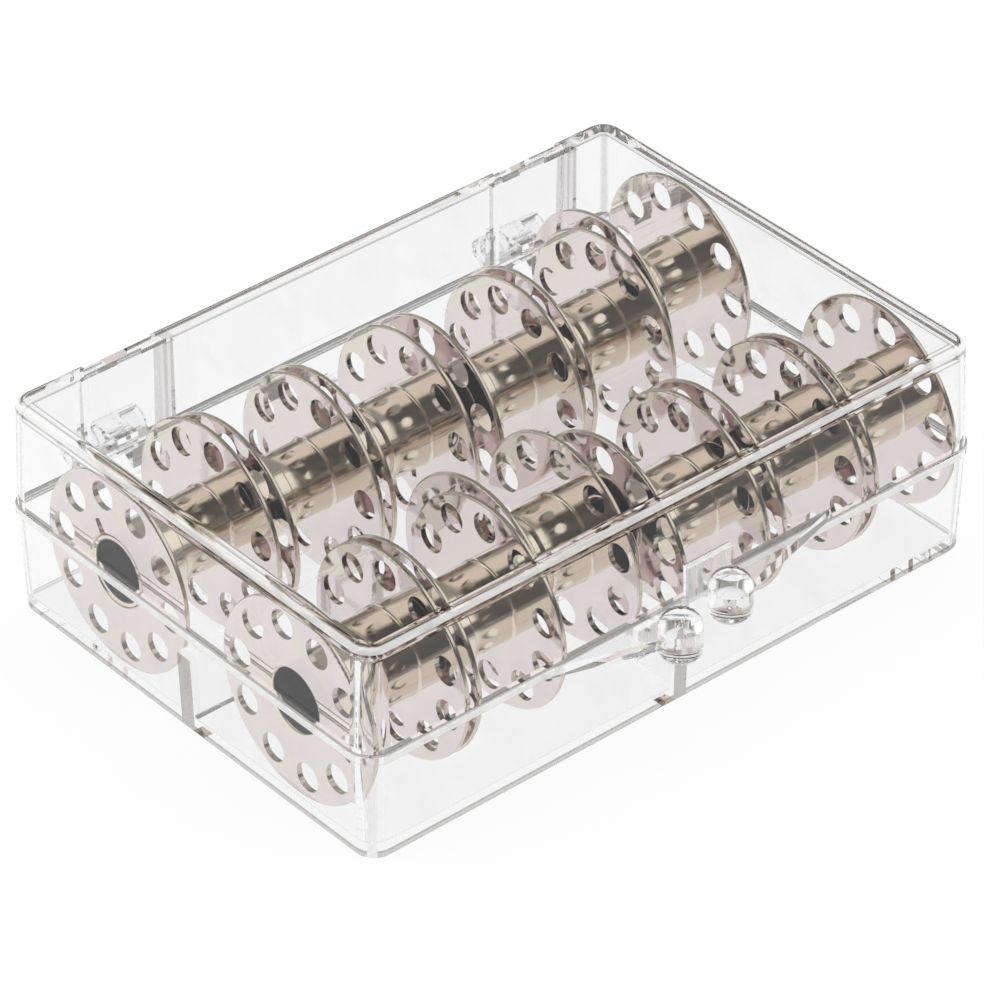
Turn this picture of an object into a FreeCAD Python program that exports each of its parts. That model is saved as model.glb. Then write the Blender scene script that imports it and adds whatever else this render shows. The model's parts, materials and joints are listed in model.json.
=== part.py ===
import FreeCAD, Part
import Sketcher
import math
import os

# Bobbin storage box: a clear tray and a hinged clear lid with a finger latch, and twelve pressed metal bobbins.
# Frame: X runs along the length, the latch is on the -Y side, Z is up, the origin is the middle of the underside.

V = FreeCAD.Vector
doc = FreeCAD.newDocument("bobbin_storage_box")

# Sizes in millimetres, angles in degrees, each written once
SIZES = [
    ("wall", "1.15", "side wall of tray and lid"),
    ("floor", "1.2", "floor of the tray"),
    ("lid_top", "1.2", "top plate of the lid"),
    ("tray_height", "12.0", "underside to parting line"),
    ("parting_gap", "0.05", "seam between tray rim and lid rim"),
    ("draft_angle", "2.0", "mould draft of the side walls"),
    ("corner_radius", "2.6", "upright corners, at the parting line"),
    ("cavity_corner_radius", "1.2", "upright corners of the inside, at the parting line"),
    ("bottom_edge_radius", "0.35", "outer edge of the underside"),
    ("top_edge_radius", "0.9", "outer edge of the top"),
    ("floor_edge_radius", "0.4", "inside edge of the floor"),
    ("lid_edge_radius", "0.75", "inside edge of the lid's top"),
    ("bead_height", "1.0", "bead along the tray rim"),
    ("bead_reach", "0.2", "bead beyond the wall"),
    ("bead_edge_radius", "0.15", "edges of the bead"),
    ("rib_thickness", "1.5", "upright ribs inside the tray"),
    ("rib_reach", "5.8", "how far the ribs stand in from the wall"),
    ("rib_drop", "3.4", "top of ribs below the parting line"),
    ("rib_clearance", "0.55", "rib to the bobbins on either side"),
    ("end_rib_shift", "0.3", "ribs at the ends, behind mid-width"),
    ("long_rib_shift", "0.08", "ribs at front and back, right of mid-length"),
    ("left_hinge_inset", "12.95", "left end of the box to middle of the left hinge"),
    ("right_hinge_inset", "11.35", "right end of the box to middle of the right hinge"),
    ("recess_depth", "1.3", "hinge recess in the lid's back wall"),
    ("recess_side_gap", "0.65", "cheek to the end of the recess"),
    ("barrel_radius", "1.6", "hinge barrel and cheeks"),
    ("barrel_gap", "0.4", "barrel to the back wall"),
    ("ear_width", "2.4", "lid barrel, along the box"),
    ("ear_gap", "0.15", "lid barrel to cheek"),
    ("cheek_width", "2.2", "tray cheek, along the box"),
    ("cheek_drop", "4.0", "foot of a cheek below the parting line"),
    ("pin_radius", "0.9", "hinge pin moulded on the lid barrel"),
    ("pin_length", "1.9", "hinge pin beyond the barrel"),
    ("pin_clearance", "0.05", "pin in its socket, on radius"),
    ("arm_thickness", "1.2", "arm from lid wall to barrel"),
    ("arm_lift", "0.2", "arm above the lid rim"),
    ("latch_shift", "-0.26", "middle of the latch, right of mid-length"),
    ("tray_flange_length", "13.0", "tray's latch flange, from knob axis to its thin end"),
    ("lid_flange_length", "15.5", "lid's latch flange, from knob axis to its thin end"),
    ("flange_thickness", "1.2", "latch flange"),
    ("flange_lead", "1.5", "flat tip of the latch flange beside the knob"),
    ("knob_offset", "3.05", "knob axis from the middle of the latch"),
    ("knob_radius", "2.1", "latch knob"),
    ("knob_stand", "1.2", "wall to the near side of a knob"),
    ("knob_height", "5.1", "latch knob"),
    ("knob_dome", "1.7", "rounded top of a knob"),
    ("knob_foot_radius", "0.8", "rounded lower edge of a knob"),
    ("tray_knob_rise", "2.05", "top of tray knob above the parting line"),
    ("lid_knob_drop", "1.55", "underside of lid knob below the lid rim"),
    ("block_width", "5.5", "stiffening block behind a knob"),
    ("block_depth", "0.65", "block beyond the wall"),
    ("tray_block_height", "3.8", "block below the tray rim"),
    ("lid_block_height", "3.5", "block above the lid rim"),
    ("bobbin_diameter", "20.5", "across the flanges"),
    ("bobbin_width", "10.6", "over both flanges"),
    ("flange_sheet", "0.55", "bobbin flange"),
    ("tube_sheet", "0.4", "bobbin tubes"),
    ("bore", "6.3", "through the bobbin"),
    ("tube_setback", "0.12", "end of inner tube behind the flange face"),
    ("rim_radius", "0.18", "rounded edge of a flange"),
    ("entry_radius", "0.4", "rounded mouth of the bore"),
    ("root_radius", "0.3", "inside corner of tube and flange"),
    ("seam_radius", "0.12", "rounded end of the outer tube"),
    ("hole_diameter", "3.0", "holes through a flange"),
    ("hole_count", "10", "holes through a flange"),
    ("hole_rim_margin", "0.9", "hole to the edge of the flange"),
    ("slot_mouth", "1.05", "drive slot at the bore"),
    ("slot_tip", "0.65", "drive slot at its outer end"),
    ("slot_length", "1.75", "drive slot beyond the inner tube"),
    ("bobbin_floor_gap", "0.15", "bobbin to floor"),
    ("bobbin_top_gap", "0.4", "bobbin to lid"),
    ("pair_gap", "1.15", "between neighbours in a row"),
    ("end_gap", "0.65", "last bobbin to the end wall"),
    ("front_gap", "0.1", "front row to the front wall"),
    ("back_gap", "4.4", "back row to the back wall"),
    ("row_gap", "5.0", "between the two rows"),
]

# Each bobbin: row, place in the row from the left, nudge along, nudge across, slotted half to the right,
# turn of its left flange, turn of its right flange
BOBBINS = [
    ("01", "back", 1, "-0.02", "0.37", False, "-29.8", "-9.5"),
    ("02", "back", 2, "0.0", "-0.17", False, "201.0", "-5.4"),
    ("03", "back", 3, "-0.15", "-0.1", True, "-14.0", "167.1"),
    ("04", "back", 4, "-0.18", "-0.3", False, "191.0", "2.5"),
    ("05", "back", 5, "-0.17", "0.1", True, "-3.0", "190.8"),
    ("06", "back", 6, "0.1", "2.66", False, "195.0", "-1.1"),
    ("07", "front", 1, "0.05", "0.1", True, "7.0", "196.5"),
    ("08", "front", 2, "-0.27", "0.08", False, "172.0", "-17.2"),
    ("09", "front", 3, "-0.47", "2.86", True, "2.0", "198.0"),
    ("10", "front", 4, "-0.36", "0.02", False, "193.0", "7.2"),
    ("11", "front", 5, "0.17", "0.15", True, "-6.0", "-13.2"),
    ("12", "front", 6, "-0.03", "0.1", False, "189.0", "-9.8"),
]
for number, row, place, along, across, slot_right, turn_left, turn_right in BOBBINS:
    SIZES.append(("along_" + number, along, "nudge of bobbin " + number + " along the box"))
    SIZES.append(("across_" + number, across, "nudge of bobbin " + number + " across the box"))
    SIZES.append(("turn_left_" + number, turn_left, "turn of its left flange"))
    SIZES.append(("turn_right_" + number, turn_right, "turn of its right flange"))

sheet = doc.addObject("Spreadsheet::Sheet", "sizes")
for line, (alias, number, note) in enumerate(SIZES, 1):
    sheet.set("A%d" % line, note)
    sheet.set("B%d" % line, number)
    sheet.setAlias("B%d" % line, alias)
doc.recompute()


class Size:
    """A number from the sheet together with the expression that gives it."""

    def __init__(self, value, text):
        self.value = float(value)
        self.text = text

    def __add__(self, other):
        other = as_size(other)
        return Size(self.value + other.value, "(%s + %s)" % (self.text, other.text))

    def __sub__(self, other):
        other = as_size(other)
        return Size(self.value - other.value, "(%s - %s)" % (self.text, other.text))

    def __mul__(self, number):
        return Size(self.value * number, "(%s * %s)" % (self.text, number))

    def __truediv__(self, number):
        return Size(self.value / number, "(%s / %s)" % (self.text, number))

    def __neg__(self):
        return Size(-self.value, "(0 - %s)" % self.text)


def as_size(thing):
    if isinstance(thing, Size):
        return thing
    return Size(thing, "%s" % thing)


def size(alias):
    return Size(getattr(sheet, alias), "sizes." + alias)


# Overall sizes, worked out from what the box holds
wall = size("wall")
parting = size("tray_height")
bobbin_radius = size("bobbin_diameter") / 2
middle_gap = size("rib_thickness") + size("rib_clearance") * 2
box_length = (size("bobbin_width") * 6 + size("pair_gap") * 4 + middle_gap + size("end_gap") * 2 + wall * 2)
box_width = (size("bobbin_diameter") * 2 + size("front_gap") + size("row_gap") + size("back_gap") + wall * 2)
inside_height = size("bobbin_diameter") + size("bobbin_floor_gap") + size("bobbin_top_gap")
lid_rim = parting + size("parting_gap")
lid_height = size("floor") + inside_height + size("lid_top") - lid_rim
half_length = box_length / 2
half_width = box_width / 2
cavity_length = box_length - wall * 2
cavity_width = box_width - wall * 2
cavity_radius = size("cavity_corner_radius")
hinge_places = {
    "left": size("left_hinge_inset") - half_length,
    "right": half_length - size("right_hinge_inset"),
}
axis_y = half_width + size("barrel_radius") + size("barrel_gap")
hinge_width = size("ear_width") + size("ear_gap") * 2 + size("cheek_width") * 2
recess_width = hinge_width + size("recess_side_gap") * 2
knob_reach = size("knob_stand") + size("knob_radius")


# Sketch helpers
def origin_plane(body, role):
    for feature in body.Origin.OriginFeatures:
        if feature.Role == role:
            return feature
    raise RuntimeError("no plane " + role)


def new_body(label):
    body = doc.addObject("PartDesign::Body", label)
    body.Label = label
    return body


def new_sketch(body, name, role="XY_Plane", level=None, shift=None):
    sketch = body.newObject("Sketcher::SketchObject", body.Label + "_" + name)
    sketch.AttachmentSupport = [(origin_plane(body, role), "")]
    sketch.MapMode = "FlatFace"
    lift = level.value if level else 0.0
    slide = shift.value if shift else 0.0
    sketch.AttachmentOffset = FreeCAD.Placement(V(slide, 0, lift), FreeCAD.Rotation())
    if level:
        sketch.setExpression("AttachmentOffset.Base.z", level.text)
    if shift:
        sketch.setExpression("AttachmentOffset.Base.x", shift.text)
    return sketch


def bind(sketch, constraint, name, amount):
    index = sketch.addConstraint(constraint)
    sketch.renameConstraint(index, name)
    sketch.setExpression("Constraints." + name, amount.text)


def place_along(sketch, kind, name, geometry, point, amount):
    """Holds one coordinate of a point; None puts it on the sketch's axis."""
    if amount is None:
        axis = -2 if kind == "DistanceX" else -1
        sketch.addConstraint(Sketcher.Constraint("PointOnObject", geometry, point, axis))
    elif amount.value >= 0:
        bind(sketch, Sketcher.Constraint(kind, -1, 1, geometry, point, amount.value), name, amount)
    else:
        bind(sketch, Sketcher.Constraint(kind, geometry, point, -1, 1, -amount.value), name, -amount)


def place_point(sketch, name, geometry, point, across, up):
    place_along(sketch, "DistanceX", name + "_u", geometry, point, across)
    place_along(sketch, "DistanceY", name + "_v", geometry, point, up)


def number_of(amount):
    return amount.value if amount is not None else 0.0


def polygon(sketch, name, points):
    first = sketch.GeometryCount
    corners = [V(number_of(u), number_of(v), 0) for u, v in points]
    count = len(corners)
    for i in range(count):
        sketch.addGeometry(Part.LineSegment(corners[i], corners[(i + 1) % count]), False)
    for i in range(count):
        sketch.addConstraint(Sketcher.Constraint("Coincident", first + i, 2, first + (i + 1) % count, 1))
    for i, (u, v) in enumerate(points):
        place_point(sketch, "%s_%d" % (name, i), first + i, 1, u, v)


def rectangle(sketch, name, left, right, low, high):
    polygon(sketch, name, [(left, low), (right, low), (right, high), (left, high)])


def circle(sketch, name, across, up, radius):
    index = sketch.addGeometry(Part.Circle(V(number_of(across), number_of(up), 0), V(0, 0, 1), radius.value), False)
    bind(sketch, Sketcher.Constraint("Radius", index, radius.value), name + "_radius", radius)
    place_point(sketch, name, index, 3, across, up)


def rounded_rectangle(sketch, name, length, width, radius):
    first = sketch.GeometryCount
    a = length.value / 2
    b = width.value / 2
    r = radius.value
    quarter = math.pi / 2
    up = V(0, 0, 1)
    sides = [
        (V(r - a, -b, 0), V(a - r, -b, 0), V(a - r, r - b, 0), -quarter),
        (V(a, r - b, 0), V(a, b - r, 0), V(a - r, b - r, 0), 0.0),
        (V(a - r, b, 0), V(r - a, b, 0), V(r - a, b - r, 0), quarter),
        (V(-a, b - r, 0), V(-a, r - b, 0), V(r - a, r - b, 0), 2 * quarter),
    ]
    for start, end, centre, angle in sides:
        sketch.addGeometry(Part.LineSegment(start, end), False)
        sketch.addGeometry(Part.ArcOfCircle(Part.Circle(centre, up, r), angle, angle + quarter), False)
    for i in range(8):
        sketch.addConstraint(Sketcher.Constraint("Tangent", first + i, 2, first + (i + 1) % 8, 1))
    sketch.addConstraint(Sketcher.Constraint("Horizontal", first))
    sketch.addConstraint(Sketcher.Constraint("Vertical", first + 2))
    for i in (3, 5, 7):
        sketch.addConstraint(Sketcher.Constraint("Equal", first + 1, first + i))
    sketch.addConstraint(Sketcher.Constraint("Symmetric", first + 1, 3, first + 5, 3, -1, 1))
    bind(sketch, Sketcher.Constraint("Radius", first + 1, r), name + "_radius", radius)
    bind(sketch, Sketcher.Constraint("DistanceX", first + 6, 1, first + 2, 1, 2 * a), name + "_length", length)
    bind(sketch, Sketcher.Constraint("DistanceY", first, 1, first + 4, 1, 2 * b), name + "_width", width)


# Feature helpers
def finish(feature):
    doc.recompute()
    if "Invalid" in feature.State or "Error" in feature.State or feature.Shape.isNull():
        raise RuntimeError("feature failed: " + feature.Label)
    return feature


def swept(body, kind, name, sketch, length, backwards=False, both_ways=False):
    doc.recompute()
    feature = body.newObject("PartDesign::" + kind, body.Label + "_" + name)
    feature.Profile = sketch
    feature.Length = length.value
    feature.setExpression("Length", length.text)
    feature.Reversed = backwards
    if both_ways:
        feature.SideType = "Symmetric"
    return finish(feature)


def pad(body, name, sketch, length, backwards=False, both_ways=False):
    return swept(body, "Pad", name, sketch, length, backwards, both_ways)


def pocket(body, name, sketch, length, backwards=False, both_ways=False):
    return swept(body, "Pocket", name, sketch, length, backwards, both_ways)


def turned(body, name, sketch, axis):
    doc.recompute()
    feature = body.newObject("PartDesign::Revolution", body.Label + "_" + name)
    feature.Profile = sketch
    feature.ReferenceAxis = (sketch, [axis])
    feature.Angle = 360.0
    return finish(feature)


def rounded(body, name, base, edges, radius):
    feature = body.newObject("PartDesign::Fillet", body.Label + "_" + name)
    feature.Base = (base, edges)
    feature.Radius = radius.value
    feature.setExpression("Radius", radius.text)
    return finish(feature)


def drafted(body, name, base, faces, neutral, backwards):
    feature = body.newObject("PartDesign::Draft", body.Label + "_" + name)
    feature.Base = (base, faces)
    feature.NeutralPlane = (base, neutral)
    feature.Angle = size("draft_angle").value
    feature.setExpression("Angle", "sizes.draft_angle")
    feature.Reversed = backwards
    return finish(feature)


def faces_where(feature, test):
    return ["Face%d" % (i + 1) for i, face in enumerate(feature.Shape.Faces) if test(face.BoundBox)]


def edges_where(feature, test):
    return ["Edge%d" % (i + 1) for i, edge in enumerate(feature.Shape.Edges) if test(edge.BoundBox)]


def lies_at(level):
    return lambda box: abs(box.ZMin - level) < 1e-4 and abs(box.ZMax - level) < 1e-4


def stands(box):
    return box.ZLength > size("floor").value / 2


# Tray and lid share one shell shape: drafted outside, rounded outer edge, drafted cavity, rounded inner edge
def shell(body, rim, height, plate, edge_radius, inner_radius, upward):
    far = rim.value + height.value if upward else rim.value - height.value
    inner = rim.value + (height.value - plate.value) * (1 if upward else -1)
    outline = new_sketch(body, "outline", level=rim)
    rounded_rectangle(outline, "outline", box_length, box_width, size("corner_radius"))
    block = pad(body, "block", outline, height, backwards=not upward)
    sides = faces_where(block, stands)
    block = drafted(body, "outer_draft", block, sides, faces_where(block, lies_at(rim.value)), not upward)
    block = rounded(body, "outer_edge", block, edges_where(block, lies_at(far)), edge_radius)
    opening = new_sketch(body, "opening", level=rim)
    rounded_rectangle(opening, "opening", cavity_length, cavity_width, cavity_radius)
    hollow = pocket(body, "cavity", opening, height - plate, backwards=upward)
    reach = half_length.value - wall.value + 0.001
    inside = faces_where(hollow, lambda box: stands(box) and max(abs(box.XMin), abs(box.XMax)) < reach)
    depth = half_width.value - wall.value + 0.001
    names = [n for n in inside if max(abs(hollow.Shape.getElement(n).BoundBox.YMin),
                                      abs(hollow.Shape.getElement(n).BoundBox.YMax)) < depth]
    hollow = drafted(body, "inner_draft", hollow, names, faces_where(hollow, lies_at(rim.value)), upward)
    return rounded(body, "inner_edge", hollow, edges_where(hollow, lies_at(inner)), inner_radius)


def both_hinges(sketch, name, half_span, low, high):
    for side, middle in hinge_places.items():
        rectangle(sketch, name + "_" + side, middle - half_span, middle + half_span, low, high)


def latch(body, side, flange_length, flange_low, block_low, block_height, knob_low):
    """Triangular flange, block and knob; side is -1 for the tray's half and 1 for the lid's half."""
    front = -half_width
    root = front + wall / 2
    axis_x = size("latch_shift") + size("knob_offset") * side
    tip_y = front - knob_reach - size("knob_radius") / 4
    thin_end = axis_x + flange_length * side
    lead = axis_x + size("flange_lead") * side
    flange = new_sketch(body, "flange", level=flange_low)
    polygon(flange, "flange", [(thin_end, root), (thin_end, front), (lead, tip_y), (axis_x, tip_y), (axis_x, root)])
    pad(body, "latch_flange", flange, size("flange_thickness"))
    block = new_sketch(body, "catch", level=block_low)
    half_block = size("block_width") / 2
    rectangle(block, "catch", axis_x - half_block, axis_x + half_block, front - size("block_depth"), root)
    pad(body, "latch_block", block, block_height)
    knob = new_sketch(body, "knob", role="XZ_Plane", level=half_width + knob_reach, shift=axis_x)
    knob_profile(knob, knob_low)
    turned(body, "latch_knob", knob, "V_Axis")


def knob_profile(sketch, low):
    """Half section of a knob: flat foot with a rounded edge, straight side, domed top."""
    radius = size("knob_radius")
    edge = size("knob_foot_radius")
    dome = size("knob_dome")
    high = low + size("knob_height")
    r = radius.value
    e = edge.value
    foot = low.value
    shoulder = high.value - dome.value
    dome_round = (r * r + dome.value ** 2) / (2 * dome.value)
    dome_centre = V(0, high.value - dome_round, 0)
    dome_start = math.atan2(shoulder - dome_centre.y, r)
    up = V(0, 0, 1)
    edge_circle = Part.Circle(V(r - e, foot + e, 0), up, e)
    sketch.addGeometry(Part.LineSegment(V(0, foot, 0), V(r - e, foot, 0)), False)
    sketch.addGeometry(Part.ArcOfCircle(edge_circle, -math.pi / 2, 0), False)
    sketch.addGeometry(Part.LineSegment(V(r, foot + e, 0), V(r, shoulder, 0)), False)
    sketch.addGeometry(Part.ArcOfCircle(Part.Circle(dome_centre, up, dome_round), dome_start, math.pi / 2), False)
    sketch.addGeometry(Part.LineSegment(V(0, high.value, 0), V(0, foot, 0)), False)
    for i in range(2):
        sketch.addConstraint(Sketcher.Constraint("Tangent", i, 2, i + 1, 1))
    for i in range(2, 5):
        sketch.addConstraint(Sketcher.Constraint("Coincident", i, 2, (i + 1) % 5, 1))
    sketch.addConstraint(Sketcher.Constraint("Horizontal", 0))
    sketch.addConstraint(Sketcher.Constraint("PointOnObject", 3, 3, -2))
    bind(sketch, Sketcher.Constraint("Radius", 1, e), "edge", edge)
    place_point(sketch, "foot", 0, 1, None, low)
    place_point(sketch, "shoulder", 2, 2, radius, high - dome)
    place_point(sketch, "crown", 4, 1, None, high)


# Tray
tray = new_body("tray")
shell(tray, parting, parting, size("floor"), size("bottom_edge_radius"), size("floor_edge_radius"), False)


# Bead along the rim, with rounded edges
bead_reach = size("bead_reach")
bead = new_sketch(tray, "bead", level=parting)
rounded_rectangle(bead, "bead_face", box_length + bead_reach * 2, box_width + bead_reach * 2,
                  size("corner_radius") + bead_reach)
rounded_rectangle(bead, "bead_root", box_length - wall, box_width - wall, size("corner_radius") - wall / 2)
rim_bead = pad(tray, "rim_bead", bead, size("bead_height"), backwards=True)
bead_levels = (parting.value, parting.value - size("bead_height").value)


def on_bead(box):
    beyond_end = max(abs(box.XMin), abs(box.XMax)) > half_length.value + bead_reach.value / 2
    beyond_side = max(abs(box.YMin), abs(box.YMax)) > half_width.value + bead_reach.value / 2
    return (beyond_end or beyond_side) and any(lies_at(level)(box) for level in bead_levels)


rounded(tray, "bead_edge", rim_bead, edges_where(rim_bead, on_bead), size("bead_edge_radius"))

ribs = new_sketch(tray, "ribs", level=size("floor") / 2)
half_rib = size("rib_thickness") / 2
far_x = half_length - wall * 0.75
near_x = half_length - wall - size("rib_reach")
far_y = half_width - wall * 0.75
near_y = half_width - wall - size("rib_reach")
end_low = size("end_rib_shift") - half_rib
end_high = size("end_rib_shift") + half_rib
long_low = size("long_rib_shift") - half_rib
long_high = size("long_rib_shift") + half_rib
rectangle(ribs, "left", -far_x, -near_x, end_low, end_high)
rectangle(ribs, "right", near_x, far_x, end_low, end_high)
rectangle(ribs, "front", long_low, long_high, -far_y, -near_y)
rectangle(ribs, "back", long_low, long_high, near_y, far_y)
pad(tray, "dividing_ribs", ribs, parting - size("rib_drop") - size("floor") / 2)

latch(tray, -1, size("tray_flange_length"), parting - size("flange_thickness"),
      parting - size("tray_block_height"), size("tray_block_height"),
      parting + size("tray_knob_rise") - size("knob_height"))


def cheek(body, name, start):
    """One hinge cheek with its pin socket, seen along the hinge axis."""
    sketch = new_sketch(body, name, role="YZ_Plane", level=start)
    radius = size("barrel_radius")
    root = half_width - wall / 2
    y = axis_y.value
    z = parting.value
    r = radius.value
    heel = z - r * 0.4
    foot = parting - size("cheek_drop")
    sketch.addGeometry(Part.ArcOfCircle(Part.Circle(V(y, z, 0), V(0, 0, 1), r), 0, math.pi), False)
    points = [V(y - r, z, 0), V(root.value, z, 0), V(root.value, foot.value, 0), V(y + r, heel, 0), V(y + r, z, 0)]
    for i in range(4):
        sketch.addGeometry(Part.LineSegment(points[i], points[i + 1]), False)
    for i in range(5):
        sketch.addConstraint(Sketcher.Constraint("Coincident", i, 2, (i + 1) % 5, 1))
    place_point(sketch, "axis", 0, 3, axis_y, parting)
    bind(sketch, Sketcher.Constraint("Radius", 0, r), "barrel", radius)
    sketch.addConstraint(Sketcher.Constraint("Horizontal", 0, 1, 0, 3))
    sketch.addConstraint(Sketcher.Constraint("Horizontal", 0, 2, 0, 3))
    sketch.addConstraint(Sketcher.Constraint("Horizontal", 1))
    sketch.addConstraint(Sketcher.Constraint("Vertical", 2))
    sketch.addConstraint(Sketcher.Constraint("Vertical", 4))
    place_along(sketch, "DistanceX", "root", 2, 1, root)
    place_along(sketch, "DistanceY", "foot", 2, 2, foot)
    place_along(sketch, "DistanceY", "heel", 4, 1, parting - radius * 0.4)
    circle(sketch, "socket", axis_y, parting, size("pin_radius") + size("pin_clearance"))
    return pad(body, name + "_pad", sketch, size("cheek_width"))


ear_half = size("ear_width") / 2 + size("ear_gap")
for side, middle in hinge_places.items():
    cheek(tray, side + "_hinge_cheek_a", middle - ear_half - size("cheek_width"))
    cheek(tray, side + "_hinge_cheek_b", middle + ear_half)

# Lid
lid = new_body("lid")
shell(lid, lid_rim, lid_height, size("lid_top"), size("top_edge_radius"), size("lid_edge_radius"), True)

backing = new_sketch(lid, "backing", level=lid_rim)
both_hinges(backing, "backing", recess_width / 2 + wall, half_width - size("recess_depth") - wall,
            half_width - wall * 0.6)
pad(lid, "recess_backing", backing, lid_height - size("lid_top") / 2)
recess = new_sketch(lid, "recess", level=lid_rim)
both_hinges(recess, "recess", recess_width / 2, half_width - size("recess_depth"), half_width + wall)
pocket(lid, "hinge_recess", recess, lid_height * 1.1, backwards=True)

latch(lid, 1, size("lid_flange_length"), lid_rim, lid_rim, size("lid_block_height"), lid_rim - size("lid_knob_drop"))


def ear_profile(sketch):
    """Arm and barrel of the lid's half of a hinge, seen along the hinge axis."""
    radius = size("barrel_radius")
    low = lid_rim + size("arm_lift")
    high = low + size("arm_thickness")
    root = half_width - size("recess_depth") - wall / 2
    y = axis_y.value
    z = parting.value
    r = radius.value
    low_angle = math.pi - math.asin((low.value - z) / r)
    high_angle = math.pi - math.asin((high.value - z) / r)
    low_meet = V(y + r * math.cos(low_angle), low.value, 0)
    high_meet = V(y + r * math.cos(high_angle), high.value, 0)
    low_root = V(root.value, low.value, 0)
    high_root = V(root.value, high.value, 0)
    around = Part.Circle(V(y, z, 0), V(0, 0, 1), r)
    sketch.addGeometry(Part.ArcOfCircle(around, low_angle, high_angle + 2 * math.pi), False)
    sketch.addGeometry(Part.LineSegment(high_meet, high_root), False)
    sketch.addGeometry(Part.LineSegment(high_root, low_root), False)
    sketch.addGeometry(Part.LineSegment(low_root, low_meet), False)
    for i in range(4):
        sketch.addConstraint(Sketcher.Constraint("Coincident", i, 2, (i + 1) % 4, 1))
    sketch.addConstraint(Sketcher.Constraint("Horizontal", 1))
    sketch.addConstraint(Sketcher.Constraint("Vertical", 2))
    sketch.addConstraint(Sketcher.Constraint("Horizontal", 3))
    place_point(sketch, "axis", 0, 3, axis_y, parting)
    bind(sketch, Sketcher.Constraint("Radius", 0, r), "barrel", radius)
    place_point(sketch, "root", 2, 1, root, high)
    place_along(sketch, "DistanceY", "arm_low", 3, 1, low)


for side, middle in hinge_places.items():
    ear = new_sketch(lid, side + "_ear", role="YZ_Plane", level=middle)
    ear_profile(ear)
    pad(lid, side + "_hinge_ear", ear, size("ear_width"), both_ways=True)
    pin = new_sketch(lid, side + "_pin", role="YZ_Plane", level=middle)
    circle(pin, "pin", axis_y, parting, size("pin_radius"))
    pad(lid, side + "_hinge_pin", pin, size("ear_width") + size("pin_length") * 2, both_ways=True)


# Bobbins: each is two pressed halves on one axis, the plain half's tube pressed through the slotted half's tube
half_bobbin = size("bobbin_width") / 2
bore_radius = size("bore") / 2
inner_tube = bore_radius + size("tube_sheet")
outer_tube = inner_tube + size("tube_sheet")


def rings_where(feature, radius, station):
    names = []
    for i, edge in enumerate(feature.Shape.Edges):
        box = edge.BoundBox
        flat = box.XLength < 1e-4 and abs(box.XMin - station) < 1e-3
        if flat and abs(box.YLength - 2 * radius) < 1e-2:
            names.append("Edge%d" % (i + 1))
    return names


def flange_holes(body, before):
    sketch = new_sketch(body, "hole", role="YZ_Plane", level=before)
    hole_radius = size("hole_diameter") / 2
    circle(sketch, "hole", bobbin_radius - size("hole_rim_margin") - hole_radius, None, hole_radius)
    first = pocket(body, "flange_hole", sketch, size("flange_sheet") * 4, both_ways=True)
    ring = body.newObject("PartDesign::PolarPattern", body.Label + "_hole_ring")
    ring.Originals = [first]
    ring.Axis = (origin_plane(body, "X_Axis"), [""])
    ring.Angle = 360.0
    ring.Occurrences = int(size("hole_count").value)
    ring.setExpression("Occurrences", "sizes.hole_count")
    body.Tip = ring
    return finish(ring)


def slotted_half(label):
    body = new_body(label)
    face = -half_bobbin
    back = size("flange_sheet") - half_bobbin
    profile = new_sketch(body, "profile")
    seam = size("seam_radius") * 0.25
    polygon(profile, "profile", [(face, bobbin_radius), (face, inner_tube), (-seam, inner_tube),
                                 (-seam, outer_tube), (back, outer_tube), (back, bobbin_radius)])
    shape = turned(body, "half", profile, "H_Axis")
    shape = rounded(body, "mouth", shape, rings_where(shape, inner_tube.value, face.value), size("entry_radius"))
    shape = rounded(body, "root", shape, rings_where(shape, outer_tube.value, back.value), size("root_radius"))
    rims = (rings_where(shape, bobbin_radius.value, face.value) + rings_where(shape, bobbin_radius.value, back.value))
    shape = rounded(body, "rim", shape, rims, size("rim_radius"))
    shape = rounded(body, "seam", shape, rings_where(shape, outer_tube.value, -seam.value), size("seam_radius"))
    flange_holes(body, face + size("flange_sheet") / 2)
    slot = new_sketch(body, "slot", role="YZ_Plane", level=face)
    mouth = size("slot_mouth") / 2
    tip = size("slot_tip") / 2
    tip_z = inner_tube + size("slot_length")
    polygon(slot, "slot", [(-mouth, bore_radius), (mouth, bore_radius), (tip, tip_z), (-tip, tip_z)])
    pocket(body, "drive_slot", slot, size("flange_sheet") * 2, both_ways=True)
    return body


def plain_half(label):
    body = new_body(label)
    face = half_bobbin
    front = half_bobbin - size("flange_sheet")
    end = size("tube_setback") - half_bobbin
    profile = new_sketch(body, "profile")
    polygon(profile, "profile", [(face, bobbin_radius), (front, bobbin_radius), (front, inner_tube),
                                 (end, inner_tube), (end, bore_radius), (face, bore_radius)])
    shape = turned(body, "half", profile, "H_Axis")
    shape = rounded(body, "mouth", shape, rings_where(shape, bore_radius.value, face.value), size("entry_radius"))
    shape = rounded(body, "root", shape, rings_where(shape, inner_tube.value, front.value), size("root_radius"))
    rims = (rings_where(shape, bobbin_radius.value, face.value) + rings_where(shape, bobbin_radius.value, front.value))
    shape = rounded(body, "rim", shape, rims, size("rim_radius"))
    flange_holes(body, face - size("flange_sheet") / 2)
    return body


def row_place(position):
    """Centre of a bobbin along the box before its nudge; position 1 is the left end of a row."""
    steps = position - 4 if position > 3 else 3 - position
    reach = middle_gap / 2 + half_bobbin
    if steps:
        reach = reach + (size("bobbin_width") + size("pair_gap")) * steps
    return reach if position > 3 else -reach


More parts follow.
